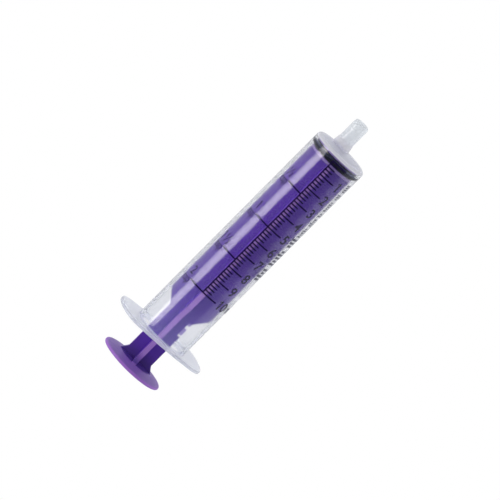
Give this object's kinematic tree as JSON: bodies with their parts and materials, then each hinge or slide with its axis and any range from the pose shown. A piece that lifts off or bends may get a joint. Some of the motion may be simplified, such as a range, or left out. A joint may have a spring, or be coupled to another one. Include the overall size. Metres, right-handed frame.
{
  "type": "oral syringe",
  "caption": "Clear graduated barrel with a finger flange and an off-centre nozzle, and a cross-ribbed plunger with a thumb rest that slides and turns in it on a black O-ring.",
  "frame": {"origin": "centre of the thumb rest's rear face, on which the syringe stands", "axes": "+Z along the barrel from the thumb rest to the nozzle, X along the flange's two wings, scale on the -Y side, nozzle off centre to +Y"},
  "size_m": [0.0306, 0.0206, 0.0954],
  "materials": {
    "clear_polypropylene": "clear, slightly milky",
    "purple_plastic": "satin moulded",
    "black_rubber": "smooth",
    "dark_ink": "printed"
  },
  "bodies": {
    "plunger": {"plunger_rod": "purple_plastic"},
    "seal": {"o_ring": "black_rubber"},
    "barrel": {"barrel": "clear_polypropylene", "ml_graduations": "dark_ink", "teaspoon_graduations": "dark_ink"}
  },
  "joints": [
    {"name": "twist", "type": "hinge", "parent": "plunger", "child": "seal", "pos_m": [0, 0, 0.08335], "axis": [0, 0, 1], "continuous": true},
    {"name": "draw", "type": "slide", "parent": "seal", "child": "barrel", "axis": [0, 0, 1], "range_m": [0, 0.0673]}
  ]
}
